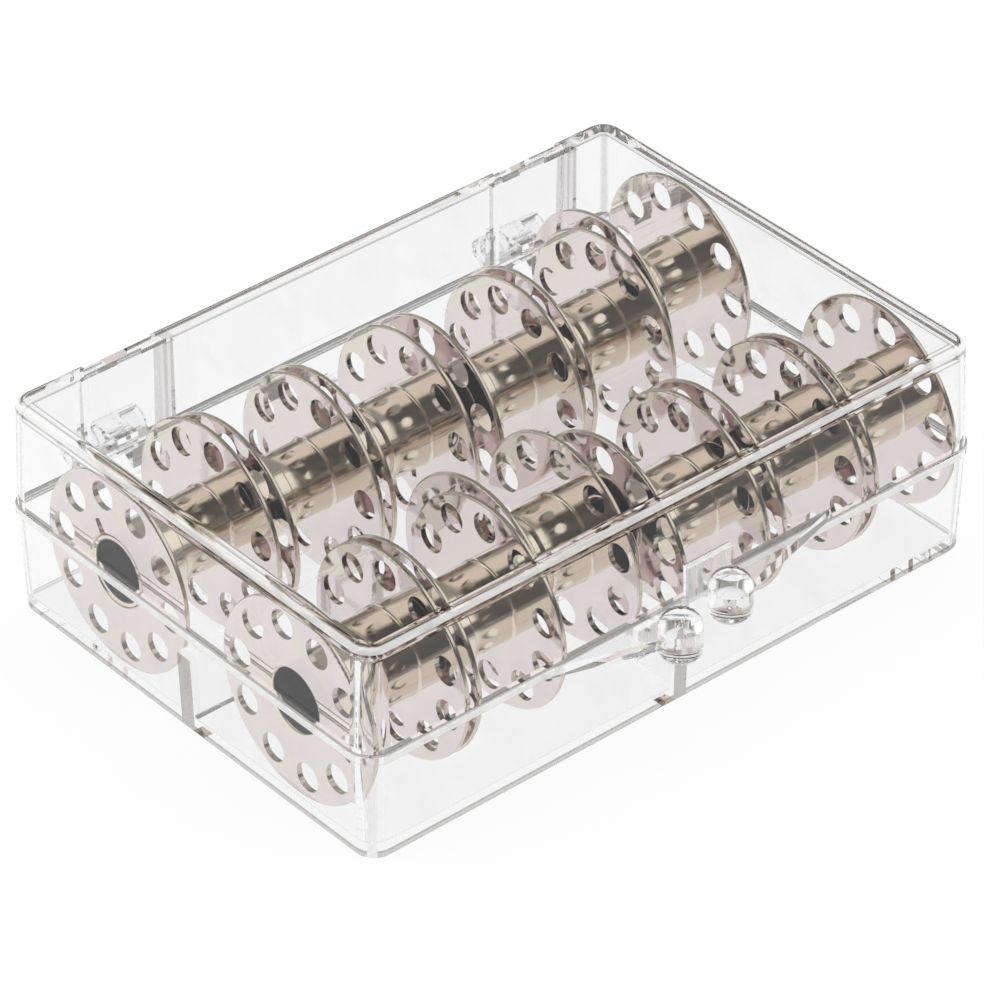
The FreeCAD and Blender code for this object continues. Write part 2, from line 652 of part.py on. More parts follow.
def set_place(body, along, across, up, flipped, turn):
    """A flipped half has its slotted end to the right; the turn is read looking along the box."""
    yaw = "180" if flipped else "0"
    roll = -turn if flipped else turn
    base = "vector(%s; %s; %s)" % (along.text, across.text, up.text)
    body.setExpression("Placement", "placement(%s; rotation(%s; 0; %s))" % (base, yaw, roll.text))


row_y = {
    "front": size("front_gap") + wall + bobbin_radius - half_width,
    "back": half_width - wall - size("back_gap") - bobbin_radius,
}
bobbin_z = size("floor") + size("bobbin_floor_gap") + bobbin_radius
bodies = [tray, lid]
for number, row, position, along, across, slot_right, turn_left, turn_right in BOBBINS:
    x = row_place(position) + size("along_" + number)
    y = row_y[row] + size("across_" + number)
    left = size("turn_left_" + number)
    right = size("turn_right_" + number)
    slotted = slotted_half("bobbin_" + number + "_slotted_half")
    plain = plain_half("bobbin_" + number + "_plain_half")
    set_place(slotted, x, y, bobbin_z, slot_right, right if slot_right else left)
    set_place(plain, x, y, bobbin_z, slot_right, left if slot_right else right)
    bodies.extend([slotted, plain])

doc.recompute()
for item in doc.Objects:
    if "Invalid" in item.State or "Error" in item.State:
        raise RuntimeError("object failed: " + item.Label)
os.makedirs("parts", exist_ok=True)
for body in bodies:
    shape = body.Shape
    if shape.isNull() or not shape.isValid() or len(shape.Solids) != 1:
        raise RuntimeError("bad shape: " + body.Label)
    shape.exportStep("parts/" + body.Label + ".step")
    print(body.Label, round(shape.Volume, 2), shape.BoundBox)
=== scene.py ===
import json
import math
from types import SimpleNamespace

import bpy
from bpy.props import FloatProperty, FloatVectorProperty, PointerProperty
from mathutils import Matrix, Vector

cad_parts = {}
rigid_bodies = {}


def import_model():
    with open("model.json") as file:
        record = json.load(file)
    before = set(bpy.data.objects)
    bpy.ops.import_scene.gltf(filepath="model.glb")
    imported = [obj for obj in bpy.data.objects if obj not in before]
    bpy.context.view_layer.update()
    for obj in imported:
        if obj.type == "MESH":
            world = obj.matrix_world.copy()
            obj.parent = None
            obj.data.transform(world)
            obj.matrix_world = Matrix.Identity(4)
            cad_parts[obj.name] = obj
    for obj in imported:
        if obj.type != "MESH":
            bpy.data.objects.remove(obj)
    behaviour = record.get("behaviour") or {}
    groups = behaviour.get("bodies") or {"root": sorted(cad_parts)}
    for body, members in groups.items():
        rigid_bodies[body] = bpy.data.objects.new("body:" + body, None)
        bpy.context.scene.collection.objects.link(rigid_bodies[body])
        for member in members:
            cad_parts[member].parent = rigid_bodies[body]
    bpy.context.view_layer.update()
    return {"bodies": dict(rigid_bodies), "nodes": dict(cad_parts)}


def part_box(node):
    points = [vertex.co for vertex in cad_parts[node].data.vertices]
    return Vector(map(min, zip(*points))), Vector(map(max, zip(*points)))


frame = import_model()

bl_info = {
    "name": "Bobbin storage box",
    "version": (1, 0, 0),
    "blender": (4, 5, 0),
    "location": "3D View > Sidebar > Bobbin box",
    "description": "Finishes a clear hinged box of pressed metal bobbins and sets it on a white table",
    "category": "Object",
}

MM = 0.001
WHITE = (1.0, 1.0, 1.0, 1.0)

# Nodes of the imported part
BOX_NODES = ("tray", "lid")
BOBBIN_BODIES = sorted(name for name in frame["bodies"] if name.startswith("bobbin_"))
BOBBIN_HALVES = ("_slotted_half", "_plain_half")

# Places on tray and lid, from the middle of the underside
LID_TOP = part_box("lid")[1][2]
WALL_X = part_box("lid")[1][0]
WALL_Y = 26.4 * MM
WALL = 1.15 * MM
RIM = 12.0 * MM
BEAD = 1.0 * MM
RIB = 1.5 * MM
RIB_TOP = 8.6 * MM
END_RIB = 0.3 * MM
LONG_RIB = 0.08 * MM
RECESS_ENDS = (-20.05 * MM, 30.05 * MM)
RECESS_BACK = 23.5 * MM
LATCH_X = (-6.0 * MM, 5.5 * MM)
LATCH_Y = (-27.2 * MM, -26.7 * MM)
CORNER = 61.2 * MM
FOOT_LINE = (0.70 * MM, 0.88 * MM)

# How strongly each feature of the mouldings takes the painted white highlight or the painted grey shade
PAINTED_HIGHLIGHT = {"lid_edge": 0.8, "corner": 0.35, "latch": 0.85}
PAINTED_SHADE = {"lid_lines": 0.8, "foot": 0.75, "ribs": 0.95, "seam": 0.9, "bead": 0.8, "recess": 0.5}

# Places on a bobbin, from its middle: where the flange, the bore and the outer rim begin
FLANGE_START = (4.3 * MM, 4.7 * MM)
BORE_START = (3.3 * MM, 3.2 * MM)
BORE_MOUTH = (5.3 * MM, 5.0 * MM)
RIM_START = (9.8 * MM, 10.1 * MM)
RIM_DULLNESS = 0.45

# Light seen through the box: a path longer than this keeps going round inside a wall, and there the plastic
# shows a painted pale glow instead
TRAPPED_DEPTH = 13.0
SHADOW_TINT = (0.93, 0.935, 0.94, 1.0)

# The table as seen in the picture, through plastic and in mirrors
TABLE_SEEN = 0.93
TABLE_MIRRORED = 0.7
TABLE_GRAIN = (0.98, 0.98, 0.98, 1.0)
# Painted shade: mirrors see the table dark from the first depth to the second in front
FRONT_DIMS = (-45.0 * MM, -115.0 * MM)
FRONT_DIM = (0.18, 0.18, 0.18, 1.0)

# The softboxes' lower and upper limits, their reach in depth, and where the room turns into the backdrop
SOFTBOX_LOW = (math.radians(18.0), math.radians(26.0))
SOFTBOX_HIGH = (math.radians(64.0), math.radians(58.0))
SOFTBOX_DEPTH = (0.6, 0.4)
ROOM_TO_BACKDROP = (-0.2, 0.35)
SHORT_PATH = 4.5
SHORT_PATH_LIGHT = (0.85, 0.85, 0.86, 1.0)
BOUNCES = 32


# Sizes and colours that a user would change
class BobbinBoxPlastic(bpy.types.PropertyGroup):
    """Clear moulded plastic of tray and lid"""

    tint: FloatVectorProperty(
        name="Tint", description="Colour that light keeps on its way through a wall", subtype="COLOR",
        size=4, min=0.0, max=1.0, default=(0.972, 0.973, 0.977, 1.0))
    ior: FloatProperty(
        name="Refraction", description="Index of refraction of clear polystyrene",
        default=1.59, min=1.0, max=2.5)
    glare: FloatProperty(
        name="Glare", description="Share of the head-on reflection that is left on the polished faces",
        default=0.1, min=0.0, max=1.0)
    # Painted highlight: how white the painted highlight makes the rounded edges, bead, corners and latch
    # streaks
    painted_highlight: FloatProperty(
        name="Satin", description="How white the satin edges are", default=0.85, min=0.0, max=1.0)
    # Painted glow: the emission colour that stands in for light gone round inside a wall
    trapped: FloatVectorProperty(
        name="Trapped light", description="Light that has gone round inside a wall", subtype="COLOR",
        size=4, min=0.0, max=1.0, default=(0.92, 0.92, 0.925, 1.0))
    # Painted shade: grey painted into the plastic's colour along edges, ribs and seam
    shade: FloatVectorProperty(
        name="Edge shade", description="Grey of the lines along edges, ribs and seam", subtype="COLOR",
        size=4, min=0.0, max=1.0, default=(0.27, 0.248, 0.232, 1.0))
    gloss: FloatProperty(
        name="Roughness", description="Roughness of the polished mould face",
        default=0.004, min=0.0, max=1.0)
    ripple: FloatProperty(
        name="Flow ripple", description="Height of the faint flow ripple of the moulding",
        default=0.004 * MM, unit="LENGTH", precision=6)
    scratch: FloatProperty(
        name="Scratch depth", description="Depth of the hairline handling scratches",
        default=0.0015 * MM, unit="LENGTH", precision=6)


class BobbinBoxNickel(bpy.types.PropertyGroup):
    """Bright nickel plate of the bobbins"""

    flange: FloatVectorProperty(
        name="Flange colour", description="Rosy nickel of the pressed flanges", subtype="COLOR",
        size=4, min=0.0, max=1.0, default=(0.80, 0.725, 0.715, 1.0))
    straw: FloatVectorProperty(
        name="Straw tinge", description="Yellower clouds on the flanges", subtype="COLOR",
        size=4, min=0.0, max=1.0, default=(0.77, 0.74, 0.645, 1.0))
    lilac: FloatVectorProperty(
        name="Lilac tinge", description="Bluer clouds on the flanges", subtype="COLOR",
        size=4, min=0.0, max=1.0, default=(0.76, 0.695, 0.715, 1.0))
    tube: FloatVectorProperty(
        name="Tube colour", description="Warmer nickel of the drawn tubes", subtype="COLOR",
        size=4, min=0.0, max=1.0, default=(0.745, 0.67, 0.56, 1.0))
    cut: FloatVectorProperty(
        name="Cut edge colour", description="Duller plate on the rims and in the holes of the flanges",
        subtype="COLOR", size=4, min=0.0, max=1.0, default=(0.50, 0.45, 0.39, 1.0))
    # Painted shade: near-black colour deep in the bore, where the bore's walls fall into shade
    bore: FloatVectorProperty(
        name="Bore colour", description="Dull plating deep inside the bore", subtype="COLOR",
        size=4, min=0.0, max=1.0, default=(0.022, 0.022, 0.024, 1.0))
    gloss: FloatProperty(
        name="Roughness", description="Roughness of the flanges", default=0.04, min=0.0, max=1.0)
    tube_gloss: FloatProperty(
        name="Tube roughness", description="Roughness of the drawn tubes", default=0.11, min=0.0, max=1.0)
    lines: FloatProperty(
        name="Turned lines", description="Height of the fine ring marks left by the tools",
        default=0.0006 * MM, unit="LENGTH", precision=7)
    dents: FloatProperty(
        name="Dents", description="Height of the soft dents of the sheet",
        default=0.0132 * MM, unit="LENGTH", precision=7)
    edge: FloatProperty(
        name="Edge break", description="Radius that tumbling leaves on punched edges",
        default=0.07 * MM, unit="LENGTH", precision=6)


class BobbinBoxStage(bpy.types.PropertyGroup):
    """Table, light and camera"""

    floor: FloatVectorProperty(
        name="Table colour", description="White table sheet", subtype="COLOR",
        size=4, min=0.0, max=1.0, default=(0.97, 0.97, 0.97, 1.0))
    softbox: FloatVectorProperty(
        name="Softboxes", description="White softbox on either side of the view", subtype="COLOR",
        size=4, min=0.0, max=2.0, default=(1.1, 1.09, 1.06, 1.0))
    back_light: FloatVectorProperty(
        name="Backdrop", description="Dim backdrop behind the box", subtype="COLOR",
        size=4, min=0.0, max=2.0, default=(0.32, 0.315, 0.30, 1.0))
    front_light: FloatVectorProperty(
        name="Room", description="Dark room on the viewer's side", subtype="COLOR",
        size=4, min=0.0, max=2.0, default=(0.075, 0.072, 0.07, 1.0))
    side_lamp: FloatProperty(
        name="Side lamps", description="Power of the lamp in each softbox", default=6.0, unit="POWER")
    top_lamp: FloatProperty(
        name="Top lamp", description="Power of the lamp above the table", default=5.0, unit="POWER")
    lamp_size: FloatProperty(
        name="Lamp size", description="Width of each lamp, and how far the side lamps stand off and up",
        default=0.9, unit="LENGTH")
    azimuth: FloatProperty(
        name="Azimuth", description="Camera's turn round the box", subtype="ANGLE",
        default=math.radians(-40.362))
    elevation: FloatProperty(
        name="Elevation", description="Camera's height above the horizon", subtype="ANGLE",
        default=math.radians(35.813))
    roll: FloatProperty(
        name="Roll", description="Camera's tilt about its own axis", subtype="ANGLE",
        default=math.radians(-0.427))
    distance: FloatProperty(
        name="Distance", description="Camera to the point it looks at", default=573.5 * MM, unit="LENGTH")
    target: FloatVectorProperty(
        name="Target", description="Point the camera looks at", subtype="TRANSLATION",
        default=(2.725 * MM, 3.549 * MM, 6.193 * MM))
    lens: FloatProperty(
        name="Lens", description="Focal length on a 36 mm sensor", default=221.5, subtype="DISTANCE_CAMERA")


class BobbinBoxSettings(bpy.types.PropertyGroup):
    """All settings of the bobbin box"""

    plastic: PointerProperty(type=BobbinBoxPlastic)
    nickel: PointerProperty(type=BobbinBoxNickel)
    stage: PointerProperty(type=BobbinBoxStage)


# Node helpers
def fresh_material(name):
    material = bpy.data.materials.new(name)
    material.use_nodes = True
    material.node_tree.nodes.clear()
    return material


def add(tree, kind, settings=None, **inputs):
    """Adds a node, sets its properties, and sets or links its inputs.

    An input's name may use _ for a space, and in0, in1 and so on give an input by number.
    """
    node = tree.nodes.new(kind)
    for key, value in (settings or {}).items():
        setattr(node, key, value)
    for key, value in inputs.items():
        numbered = key.startswith("in") and key[2:].isdigit()
        socket = node.inputs[int(key[2:]) if numbered else key.replace("_", " ")]
        if isinstance(value, bpy.types.NodeSocket):
            tree.links.new(value, socket)
        else:
            socket.default_value = value
    return node


def math_node(tree, operation, first, second=0.0):
    return add(tree, "ShaderNodeMath", {"operation": operation}, in0=first, in1=second).outputs[0]


def highest(tree, *values):
    most = values[0]
    for value in values[1:]:
        most = math_node(tree, "MAXIMUM", most, value)
    return most


def share(tree, *values):
    """Product of shares."""
    product = values[0]
    for value in values[1:]:
        product = math_node(tree, "MULTIPLY", product, value)
    return product


def ramp(tree, value, low, high, start=0.0, end=1.0):
    """Smooth step of a value between low and high."""
    node = add(tree, "ShaderNodeMapRange", {"interpolation_type": "SMOOTHSTEP"}, Value=value,
               From_Min=low, From_Max=high, To_Min=start, To_Max=end)
    return node.outputs["Result"]


def band(tree, value, low, high, soft):
    """One between low and high, falling off to nothing over the soft length on either side."""
    rise = ramp(tree, value, low - soft, low)
    fall = ramp(tree, value, high + soft, high)
    return share(tree, rise, fall)


def noise(tree, place, scale, detail, roughness=0.5):
    node = add(tree, "ShaderNodeTexNoise", Vector=place, Scale=scale, Detail=detail, Roughness=roughness)
    return node.outputs[0]


def dot_product(tree, first, second):
    node = add(tree, "ShaderNodeVectorMath", {"operation": "DOT_PRODUCT"}, in0=first, in1=second)
    return node.outputs["Value"]


def blend_colour(tree, factor, first, second):
    """Colour that goes from the first to the second with the factor; the sockets are given by number."""
    return add(tree, "ShaderNodeMix", {"data_type": "RGBA"}, in0=factor, in6=first, in7=second).outputs[2]


def blend_shader(tree, factor, first, second):
    return add(tree, "ShaderNodeMixShader", in0=factor, in1=first.outputs[0], in2=second.outputs[0])


def finish_node(name, material):
    node = frame["nodes"][name]
    node.data.materials.clear()
    node.data.materials.append(material)


# Clear plastic
def hairline_scratches(tree, place, turn):
    """Sparse long scratches: thin crests of a stretched noise."""
    stretched = add(tree, "ShaderNodeMapping", Vector=place, Rotation=turn, Scale=(60.0, 2600.0, 2600.0))
    crests = noise(tree, stretched.outputs[0], 1.0, 1.0, 0.4)
    return ramp(tree, crests, 0.70, 0.76)


def moulding_places(tree, coordinates):
    """Sockets that tell where a point of a moulding lies, which way it faces and which wall it is on."""
    x, y, z = add(tree, "ShaderNodeSeparateXYZ", Vector=coordinates.outputs["Object"]).outputs
    facing = add(tree, "ShaderNodeSeparateXYZ", Vector=coordinates.outputs["Normal"]).outputs
    lean_x, lean_y, lean_z = [math_node(tree, "ABSOLUTE", part) for part in facing]
    reach_x = math_node(tree, "ABSOLUTE", x)
    reach_y = math_node(tree, "ABSOLUTE", y)
    end_wall = ramp(tree, reach_x, WALL_X - 0.8 * MM, WALL_X - 0.7 * MM)
    long_wall = ramp(tree, reach_y, WALL_Y - 0.8 * MM, WALL_Y - 0.7 * MM)
    return SimpleNamespace(
        x=x, y=y, z=z, upward=facing[2], lean_x=lean_x, lean_y=lean_y, lean_z=lean_z,
        reach_x=reach_x, reach_y=reach_y, end_wall=end_wall, long_wall=long_wall,
        outside=highest(tree, end_wall, long_wall),
        on_wall=ramp(tree, reach_y, WALL_Y + 0.6 * MM, WALL_Y + 0.3 * MM))


def painted_highlight_mask(tree, at):
    """Mask of painted white highlight along the lid's rounded top edge, the bead and the upright corners, and
    of white vertical streaks on the latch blocks; there the clear plastic turns to white diffuse.
    """
    near_top = ramp(tree, at.z, LID_TOP - 1.05 * MM, LID_TOP - 0.85 * MM)
    lid_edge = share(tree, near_top, band(tree, at.upward, 0.35, 0.80, soft=0.15), PAINTED_HIGHLIGHT["lid_edge"])

    beyond_x = ramp(tree, at.reach_x, WALL_X + 0.04 * MM, WALL_X + 0.09 * MM)
    beyond_y = share(tree, ramp(tree, at.reach_y, WALL_Y + 0.04 * MM, WALL_Y + 0.09 * MM), at.on_wall)
    bead_height = band(tree, at.z, RIM - BEAD + 0.15 * MM, RIM - 0.15 * MM, soft=0.08 * MM)
    bead = share(tree, bead_height, highest(tree, beyond_x, beyond_y))

    upright = math_node(tree, "MINIMUM", at.lean_x, at.lean_y)
    far_out = math_node(tree, "ADD", at.reach_x, at.reach_y)
    corner = share(tree, ramp(tree, far_out, CORNER, CORNER + 0.4 * MM), ramp(tree, upright, 0.45, 0.65),
                   PAINTED_HIGHLIGHT["corner"])

    stripes = add(tree, "ShaderNodeTexNoise", {"noise_dimensions": "1D"}, W=at.x, Scale=1100.0, Detail=1.0)
    latch = share(tree, band(tree, at.y, *LATCH_Y, soft=0.1 * MM), band(tree, at.x, *LATCH_X, soft=0.05 * MM),
                  ramp(tree, stripes.outputs[0], 0.42, 0.58), PAINTED_HIGHLIGHT["latch"])
    return highest(tree, lid_edge, bead, corner, latch)


def painted_shade_mask(tree, at):
    """Mask of painted grey shade along the lid's edges, the foot, the ribs, the seam, the bead and the ends
    of the recesses.
    """
    rounding = math_node(tree, "MINIMUM", highest(tree, at.lean_x, at.lean_y), at.lean_z)
    lid_lines = share(tree, band(tree, rounding, 0.12, 0.24, soft=0.06), at.on_wall,
                      ramp(tree, at.z, RIM, RIM + 1.0 * MM), PAINTED_SHADE["lid_lines"])

    foot_line = band(tree, at.z, *FOOT_LINE, soft=0.08 * MM)
    below_line = share(tree, ramp(tree, at.z, 0.84 * MM, 0.74 * MM), PAINTED_SHADE["foot"])
    foot = share(tree, highest(tree, foot_line, below_line), at.outside)

    end_ribs = share(tree, band(tree, at.y, END_RIB - RIB / 2 - 0.35 * MM, END_RIB + RIB / 2, soft=0.03 * MM),
                     at.end_wall)
    long_ribs = share(tree, band(tree, at.x, LONG_RIB - RIB / 2, LONG_RIB + RIB / 2, soft=0.03 * MM),
                      at.long_wall, at.on_wall)
    ribs = share(tree, highest(tree, end_ribs, long_ribs), ramp(tree, at.z, RIB_TOP, RIB_TOP - 0.1 * MM),
                 PAINTED_SHADE["ribs"])

    seam = share(tree, band(tree, at.z, RIM - 0.05 * MM, RIM + 0.10 * MM, soft=0.05 * MM),
                 at.outside, at.on_wall, PAINTED_SHADE["seam"])
    under_bead = share(tree, band(tree, at.z, RIM - BEAD - 0.08 * MM, RIM - BEAD + 0.05 * MM, soft=0.05 * MM),
                       at.outside, at.on_wall, PAINTED_SHADE["bead"])

    ends = [band(tree, at.x, end, end + WALL, soft=0.03 * MM) for end in RECESS_ENDS]
    at_back = ramp(tree, at.y, RECESS_BACK, RECESS_BACK + 0.2 * MM)
    above_rim = ramp(tree, at.z, RIM + 0.2 * MM, RIM + 0.4 * MM)
    recess = share(tree, highest(tree, *ends), at_back, at.on_wall, above_rim, PAINTED_SHADE["recess"])
    return highest(tree, lid_lines, foot, ribs, seam, under_bead, recess)


def clear_plastic(look):
    """Clear glossy moulding with painted white highlights and painted grey shade on its edges; shadows fall
    through it, and a path caught inside a wall ends in a pale painted glow.
    """
    material = fresh_material("clear_plastic")
    tree = material.node_tree
    coordinates = add(tree, "ShaderNodeTexCoord")
    place = coordinates.outputs["Object"]
    ripple = noise(tree, place, 140.0, 2.0, 0.45)
    scratches = highest(tree, hairline_scratches(tree, place, (0.0, 0.0, 0.5)),
                        hairline_scratches(tree, place, (0.3, 0.2, 2.1)))
    height = math_node(tree, "SUBTRACT", share(tree, ripple, look.ripple),
                       share(tree, scratches, look.scratch))
    bump = add(tree, "ShaderNodeBump", Height=height, Strength=1.0, Distance=1.0)
    smudge = noise(tree, place, 60.0, 4.0, 0.6)
    smudged = ramp(tree, smudge, 0.35, 0.8, look.gloss * 0.5, look.gloss * 2.0)
    gloss = math_node(tree, "ADD", smudged, share(tree, scratches, 0.08))

    at = moulding_places(tree, coordinates)
    # Painted highlight: less clear and more white diffuse where the highlight mask lies
    clear = math_node(tree, "SUBTRACT", 1.0, share(tree, painted_highlight_mask(tree, at), look.painted_highlight))
    # Painted shade: the plastic's colour goes to the edge grey where the shade mask lies
    colour = blend_colour(tree, painted_shade_mask(tree, at), look.tint, look.shade)
    surface = add(tree, "ShaderNodeBsdfPrincipled", Base_Color=colour, Roughness=gloss,
                  Normal=bump.outputs[0], Transmission_Weight=clear)
    surface.inputs["IOR"].default_value = look.ior
    surface.inputs["Specular Tint"].default_value = (look.glare, look.glare, look.glare, 1.0)

    rays = add(tree, "ShaderNodeLightPath").outputs
    # Painted glow: past the trapped depth the plastic glows pale instead of tracing the light further
    trapped = add(tree, "ShaderNodeEmission", Color=look.trapped, Strength=1.0)
    caught = math_node(tree, "GREATER_THAN", rays["Ray Depth"], TRAPPED_DEPTH)
    inside = blend_shader(tree, caught, surface, trapped)
    shadow = add(tree, "ShaderNodeBsdfTransparent", Color=SHADOW_TINT)
    mixed = blend_shader(tree, rays["Is Shadow Ray"], inside, shadow)
    add(tree, "ShaderNodeOutputMaterial", Surface=mixed.outputs[0])
    return material


# Bright nickel
def nickel(look):
    """One material for all bobbins: each node carries the middle of its bobbin as the property axle."""
    material = fresh_material("bright_nickel")
    tree = material.node_tree
    coordinates = add(tree, "ShaderNodeTexCoord")
    axle = add(tree, "ShaderNodeAttribute", {"attribute_type": "OBJECT", "attribute_name": "axle"})
    local = add(tree, "ShaderNodeVectorMath", {"operation": "SUBTRACT"}, in0=coordinates.outputs["Object"],
                in1=axle.outputs["Vector"]).outputs[0]
    along, across, up = add(tree, "ShaderNodeSeparateXYZ", Vector=local).outputs
    squares = math_node(tree, "ADD", share(tree, across, across), share(tree, up, up))
    radius = math_node(tree, "SQRT", squares)
    on_flange = ramp(tree, radius, *FLANGE_START)
    in_bore = share(tree, ramp(tree, radius, *BORE_START),
                    ramp(tree, math_node(tree, "ABSOLUTE", along), *BORE_MOUTH))

    straw_clouds = ramp(tree, noise(tree, local, 190.0, 1.0), 0.50, 0.68)
    lilac_clouds = ramp(tree, noise(tree, local, 310.0, 1.0), 0.52, 0.72)
    rosy = blend_colour(tree, straw_clouds, look.flange, look.straw)
    rosy = blend_colour(tree, lilac_clouds, rosy, look.lilac)
    outward = add(tree, "ShaderNodeSeparateXYZ", Vector=coordinates.outputs["Normal"]).outputs["X"]
    flat = ramp(tree, math_node(tree, "ABSOLUTE", outward), 0.75, 0.95)
    dull_edge = share(tree, on_flange, ramp(tree, radius, *RIM_START, 1.0, RIM_DULLNESS))
    edges = blend_colour(tree, dull_edge, look.tube, look.cut)
    plate = blend_colour(tree, flat, edges, rosy)
    # Painted shade deep inside the bore
    plate = blend_colour(tree, in_bore, plate, look.bore)

    on_tube = math_node(tree, "SUBTRACT", 1.0, on_flange)
    rings = add(tree, "ShaderNodeCombineXYZ", X=share(tree, radius, on_flange), Y=share(tree, along, on_tube))
    lines = noise(tree, rings.outputs[0], 9000.0, 3.0, 0.7)
    dents = noise(tree, local, 330.0, 2.0)
    height = math_node(tree, "ADD", share(tree, lines, look.lines), share(tree, dents, look.dents))
    rounded = add(tree, "ShaderNodeBevel", {"samples": 4}, Radius=look.edge)
    bump = add(tree, "ShaderNodeBump", Height=height, Strength=1.0, Distance=1.0, Normal=rounded.outputs[0])

    wear = ramp(tree, noise(tree, local, 900.0, 4.0, 0.6), 0.3, 0.8, 0.7, 1.6)
    finish = add(tree, "ShaderNodeMapRange", Value=flat, To_Min=look.tube_gloss, To_Max=look.gloss)
    gloss = math_node(tree, "ADD", share(tree, finish.outputs[0], wear), share(tree, in_bore, 0.25))
    surface = add(tree, "ShaderNodeBsdfPrincipled", Base_Color=plate, Roughness=gloss, Normal=bump.outputs[0])
    surface.inputs["Metallic"].default_value = 1.0
    # Painted shade: a dark diffuse shader replaces the metal deep inside the bore
    painted_bore_shade = add(tree, "ShaderNodeBsdfDiffuse", Color=look.bore)
    mixed = blend_shader(tree, in_bore, surface, painted_bore_shade)
    add(tree, "ShaderNodeOutputMaterial", Surface=mixed.outputs[0])
    return material


# Table, light and camera
def table_sheet(look):
    """White sheet that takes shadows; mirrors see its front part darkened by painted shade."""
    material = fresh_material("table_sheet")
    tree = material.node_tree
    place = add(tree, "ShaderNodeTexCoord").outputs["Object"]
    grain = noise(tree, place, 900.0, 3.0)
    sheet = add(tree, "ShaderNodeBsdfDiffuse", Color=blend_colour(tree, grain, look.floor, TABLE_GRAIN))
    rays = add(tree, "ShaderNodeLightPath").outputs
    lengthwise = add(tree, "ShaderNodeSeparateXYZ", Vector=place).outputs["Y"]
    # Painted shade on the table's front part, for mirror rays only
    dim_front = share(tree, ramp(tree, lengthwise, *FRONT_DIMS), rays["Is Glossy Ray"])
    shown = blend_colour(tree, dim_front, WHITE, FRONT_DIM)
    white = add(tree, "ShaderNodeEmission", Color=shown, Strength=1.0)
    seen = highest(tree, share(tree, rays["Is Camera Ray"], TABLE_SEEN),
                   share(tree, rays["Is Transmission Ray"], TABLE_SEEN),
                   share(tree, rays["Is Glossy Ray"], TABLE_MIRRORED))
    mixed = blend_shader(tree, seen, sheet, white)
    add(tree, "ShaderNodeOutputMaterial", Surface=mixed.outputs[0])
    return material


def studio_world(look):
    """A softbox on either side of the view, a dim backdrop and a dark room on the viewer's side."""
    world = bpy.data.worlds.new("studio")
    world.use_nodes = True
    tree = world.node_tree
    tree.nodes.clear()
    heading = add(tree, "ShaderNodeTexCoord").outputs["Generated"]
    up = add(tree, "ShaderNodeSeparateXYZ", Vector=heading).outputs["Z"]
    sideways = (math.cos(look.azimuth), math.sin(look.azimuth), 0.0)
    away = (-math.sin(look.azimuth), math.cos(look.azimuth), 0.0)
    side = math_node(tree, "ABSOLUTE", dot_product(tree, heading, sideways))
    back = dot_product(tree, heading, away)
    rise = math_node(tree, "ARCTAN2", up, side)
    softbox = share(tree, ramp(tree, rise, *SOFTBOX_LOW), ramp(tree, rise, *SOFTBOX_HIGH),
                    ramp(tree, math_node(tree, "ABSOLUTE", back), *SOFTBOX_DEPTH))
    room = blend_colour(tree, ramp(tree, back, *ROOM_TO_BACKDROP), look.front_light, look.back_light)
    room = blend_colour(tree, softbox, room, look.softbox)
    rays = add(tree, "ShaderNodeLightPath").outputs
    short = math_node(tree, "LESS_THAN", rays["Ray Depth"], SHORT_PATH)
    room = blend_colour(tree, share(tree, short, rays["Is Transmission Ray"]), room, SHORT_PATH_LIGHT)
    shown = blend_colour(tree, rays["Is Camera Ray"], room, WHITE)
    sky = add(tree, "ShaderNodeBackground", Color=shown, Strength=1.0)
    add(tree, "ShaderNodeOutputWorld", Surface=sky.outputs[0])
    return world


def aim(thing, location, target, roll=0.0):
    ahead = (target - location).normalized()
    side = ahead.cross(Vector((0.0, 0.0, 1.0))).normalized()
    top = side.cross(ahead)
    turn = Matrix((side, top, -ahead)).transposed().to_4x4()
    thing.matrix_world = Matrix.Translation(location) @ turn @ Matrix.Rotation(roll, 4, "Z")


def link_object(name, data):
    thing = bpy.data.objects.new(name, data)
    bpy.context.scene.collection.objects.link(thing)
    return thing


def lay_table(look):
    half = 1.5
    level = -0.03 * MM
    corners = [(-half, -half, level), (half, -half, level), (half, half, level), (-half, half, level)]
    sheet = bpy.data.meshes.new("table")
    sheet.from_pydata(corners, [], [(0, 1, 2, 3)])
    sheet.materials.append(table_sheet(look))
    link_object("table", sheet)


def hang_lamps(look):
    """One lamp in each softbox and one above; none shows in mirrors or through the plastic."""
    sideways = Vector((math.cos(look.azimuth), math.sin(look.azimuth), 0.0)) * look.lamp_size
    above = Vector((0.0, 0.0, look.lamp_size))
    lamp_places = {
        "top_lamp": (Vector((0.25, 0.35, 1.1)), look.top_lamp),
        "right_lamp": (above + sideways, look.side_lamp),
        "left_lamp": (above - sideways, look.side_lamp),
    }
    for name, (place, power) in lamp_places.items():
        lamp = bpy.data.lights.new(name, "AREA")
        lamp.shape = "DISK"
        lamp.size = look.lamp_size
        lamp.energy = power
        shining = link_object(name, lamp)
        aim(shining, place, Vector((0.0, 0.0, 0.0)))
        shining.visible_glossy = False
        shining.visible_transmission = False


def place_camera(look):
    camera = bpy.data.cameras.new("camera")
    camera.sensor_width = 36.0
    camera.lens = look.lens
    camera.clip_start = 0.01
    camera.clip_end = 10.0
    view = link_object("camera", camera)
    target = Vector(look.target)
    level = math.cos(look.elevation)
    back = Vector((math.sin(look.azimuth) * level, -math.cos(look.azimuth) * level,
                   math.sin(look.elevation)))
    aim(view, target + back * look.distance, target, look.roll)
    bpy.context.scene.camera = view


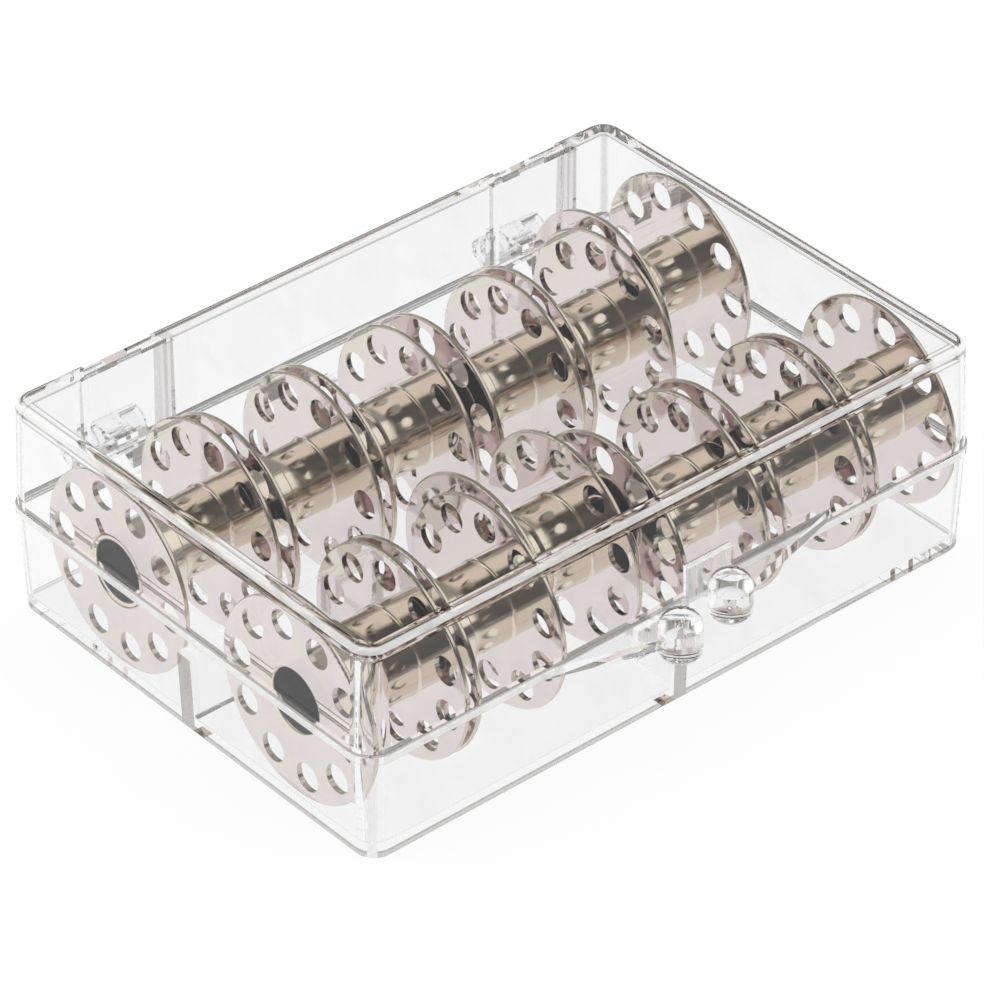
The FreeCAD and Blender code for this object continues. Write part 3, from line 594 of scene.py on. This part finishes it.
# Operators, one for each group of pieces and one for the stage
class BOBBINBOX_OT_clear_box(bpy.types.Operator):
    """Give the tray and the lid their clear moulded plastic"""

    bl_idname = "bobbin_box.clear_box"
    bl_label = "Clear tray and lid"

    def execute(self, context):
        material = clear_plastic(context.scene.bobbin_box.plastic)
        for name in BOX_NODES:
            finish_node(name, material)
        return {"FINISHED"}


class BOBBINBOX_OT_bobbins(bpy.types.Operator):
    """Give the bobbins their bright nickel plate"""

    bl_idname = "bobbin_box.bobbins"
    bl_label = "Nickel bobbins"

    def execute(self, context):
        material = nickel(context.scene.bobbin_box.nickel)
        for body in BOBBIN_BODIES:
            halves = [body + half for half in BOBBIN_HALVES]
            corners = [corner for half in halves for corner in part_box(half)]
            low = [min(corner[i] for corner in corners) for i in range(3)]
            high = [max(corner[i] for corner in corners) for i in range(3)]
            for half in halves:
                frame["nodes"][half]["axle"] = [(a + b) / 2 for a, b in zip(low, high)]
                finish_node(half, material)
        return {"FINISHED"}


class BOBBINBOX_OT_stage(bpy.types.Operator):
    """Set up the table, the light and the camera"""

    bl_idname = "bobbin_box.stage"
    bl_label = "Table, light and camera"

    def execute(self, context):
        scene = context.scene
        look = scene.bobbin_box.stage
        lay_table(look)
        scene.world = studio_world(look)
        hang_lamps(look)
        place_camera(look)
        scene.view_settings.view_transform = "Standard"
        scene.cycles.max_bounces = BOUNCES
        scene.cycles.glossy_bounces = BOUNCES
        scene.cycles.transmission_bounces = BOUNCES
        scene.cycles.transparent_max_bounces = BOUNCES
        return {"FINISHED"}


class BOBBINBOX_PT_panel(bpy.types.Panel):
    """Steps that dress the box"""

    bl_idname = "BOBBINBOX_PT_panel"
    bl_label = "Bobbin box"
    bl_space_type = "VIEW_3D"
    bl_region_type = "UI"
    bl_category = "Bobbin box"

    def draw(self, context):
        for step in STEPS:
            self.layout.operator(step.bl_idname)


STEPS = (BOBBINBOX_OT_clear_box, BOBBINBOX_OT_bobbins, BOBBINBOX_OT_stage)
GROUPS = (BobbinBoxPlastic, BobbinBoxNickel, BobbinBoxStage, BobbinBoxSettings)
CLASSES = GROUPS + STEPS + (BOBBINBOX_PT_panel,)


def register():
    for item in CLASSES:
        bpy.utils.register_class(item)
    bpy.types.Scene.bobbin_box = PointerProperty(type=BobbinBoxSettings)


def unregister():
    del bpy.types.Scene.bobbin_box
    for item in reversed(CLASSES):
        bpy.utils.unregister_class(item)


def main():
    register()
    bpy.ops.bobbin_box.clear_box()
    bpy.ops.bobbin_box.bobbins()
    bpy.ops.bobbin_box.stage()


if __name__ == "__main__":
    main()
